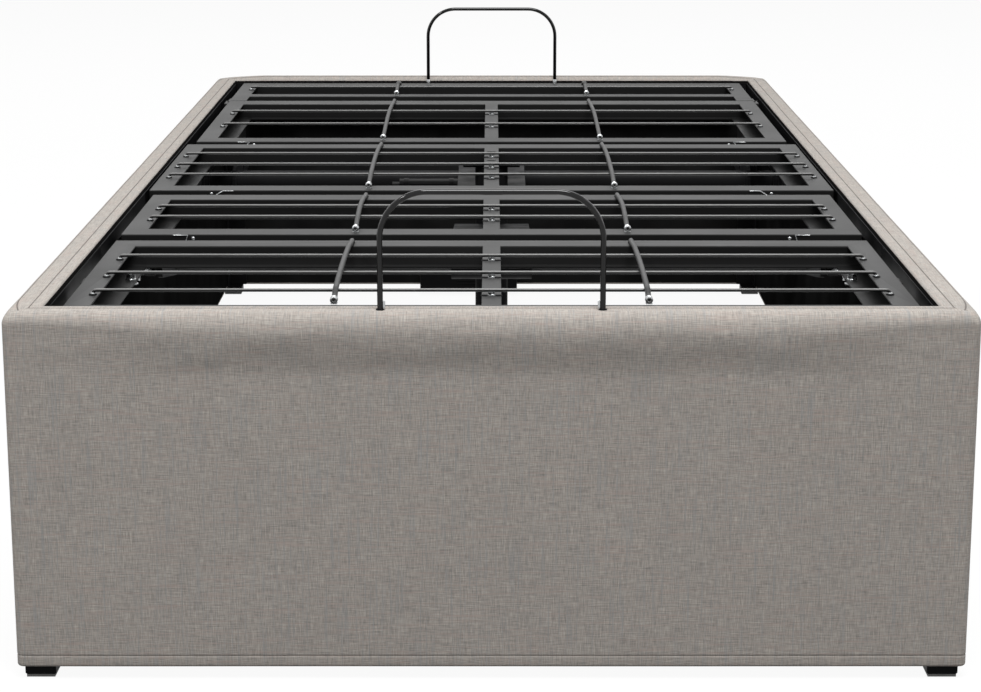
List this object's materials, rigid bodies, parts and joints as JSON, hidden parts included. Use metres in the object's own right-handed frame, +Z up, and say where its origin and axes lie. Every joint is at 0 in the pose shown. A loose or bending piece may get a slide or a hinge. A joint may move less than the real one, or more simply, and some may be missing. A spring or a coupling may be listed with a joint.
{
  "type": "adjustable bed frame",
  "caption": "Upholstered box bed base with a hinged steel spring deck: the back, head, thigh and calf sections tilt, with drives and lift arms under them and a mattress bar at each end.",
  "frame": {"origin": "on the floor under the middle of the upholstered box", "axes": "+Z up, +Y towards the head end, X across the bed"},
  "size_m": [1.075, 2.135, 0.5624],
  "materials": {
    "upholstery": "plain woven",
    "board": "black-faced board",
    "rim_board": "plain",
    "deck_steel": "satin grey",
    "chassis_steel": "satin dark grey",
    "bright_wire": "drawn",
    "zinc": "bright zinc",
    "black_bar": "semi-gloss black",
    "black_plastic": "fine grain",
    "motor_case": "satin black"
  },
  "bodies": {
    "base": {"foot_panel": "board", "head_panel": "board", "side_panels": "board", "end_rim_rails": "rim_board", "side_rim_rails": "rim_board", "foot_cover": "upholstery", "head_cover": "upholstery", "left_cover": "upholstery", "right_cover": "upholstery", "corner_posts": "chassis_steel", "feet": "black_plastic", "glides": "black_plastic", "side_stiffeners": "board", "chassis_rails": "chassis_steel", "seat_frame": "deck_steel", "seat_wires": "bright_wire", "seat_rods": "bright_wire", "seat_clips": "zinc", "seat_brackets": "chassis_steel", "centre_leg": "chassis_steel", "tube_bearings": "chassis_steel", "tube_bushes": "black_plastic", "leg_drive": "black_plastic", "back_drive": "black_plastic", "drive_caps": "black_plastic", "drive_motors": "motor_case", "drive_brackets": "chassis_steel", "control_box": "black_plastic", "foot_retainer": "black_bar", "head_retainer": "black_bar", "retainer_brackets": "black_bar", "seat_hinge_pins": "zinc", "link_anchor_pins": "zinc"},
    "back_section": {"back_frame": "deck_steel", "back_wires": "bright_wire", "back_rods": "bright_wire", "back_clips": "zinc", "back_lift_rails": "deck_steel", "head_hinge_pins": "zinc"},
    "head_section": {"head_frame": "deck_steel", "head_wires": "bright_wire", "head_rods": "bright_wire", "head_ferrules": "zinc"},
    "thigh_section": {"thigh_frame": "deck_steel", "thigh_wires": "bright_wire", "thigh_rods": "bright_wire", "thigh_clips": "zinc", "thigh_lift_rails": "deck_steel", "knee_pins": "zinc"},
    "calf_section": {"calf_frame": "deck_steel", "calf_wires": "bright_wire", "calf_rods": "bright_wire", "calf_clips": "zinc"},
    "back_lift": {"back_torsion_tube": "chassis_steel", "back_lift_arms": "chassis_steel"},
    "back_rollers": {"back_rollers": "black_plastic"},
    "leg_lift": {"leg_torsion_tube": "chassis_steel", "leg_lift_arms": "chassis_steel"},
    "leg_rollers": {"leg_rollers": "black_plastic"},
    "calf_links": {"calf_links": "chassis_steel"}
  },
  "joints": [
    {"name": "back_tilt", "type": "hinge", "parent": "base", "child": "back_section", "pos_m": [0, 0.229, 0.398], "axis": [1, 0, 0], "range_deg": [0, 60]},
    {"name": "head_tilt", "type": "hinge", "parent": "back_section", "child": "head_section", "pos_m": [0, 0.753, 0.4115], "axis": [1, 0, 0], "range_deg": [0, 28]},
    {"name": "thigh_tilt", "type": "hinge", "parent": "base", "child": "thigh_section", "pos_m": [0, -0.249, 0.398], "axis": [-1, 0, 0], "range_deg": [0, 42]},
    {"name": "calf_tilt", "type": "hinge", "parent": "thigh_section", "child": "calf_section", "pos_m": [0, -0.5925, 0.398], "axis": [1, 0, 0], "range_deg": [0, 42]},
    {"name": "back_lift_turn", "type": "hinge", "parent": "base", "child": "back_lift", "pos_m": [0, 0.44109, 0.32289], "axis": [1, 0, 0], "range_deg": [0, 120]},
    {"name": "leg_lift_turn", "type": "hinge", "parent": "base", "child": "leg_lift", "pos_m": [0, -0.36867, 0.3472], "axis": [-1, 0, 0], "range_deg": [0, 84]},
    {"name": "calf_link_swing", "type": "hinge", "parent": "base", "child": "calf_links", "pos_m": [0, -0.509, 0.338], "axis": [-1, 0, 0], "range_deg": [0, 42]},
    {"name": "back_roller_spin", "type": "hinge", "parent": "back_lift", "child": "back_rollers", "pos_m": [0, 0.66602, 0.32878], "axis": [1, 0, 0], "continuous": true},
    {"name": "leg_roller_spin", "type": "hinge", "parent": "leg_lift", "child": "leg_rollers", "pos_m": [0, -0.49817, 0.35854], "axis": [1, 0, 0], "continuous": true}
  ],
  "couplings": [
    {"joint": "calf_tilt", "follows": "thigh_tilt", "ratio": 1},
    {"joint": "leg_lift_turn", "follows": "thigh_tilt", "ratio": 2},
    {"joint": "calf_link_swing", "follows": "thigh_tilt", "ratio": 1},
    {"joint": "back_lift_turn", "follows": "back_tilt", "ratio": 2}
  ]
}
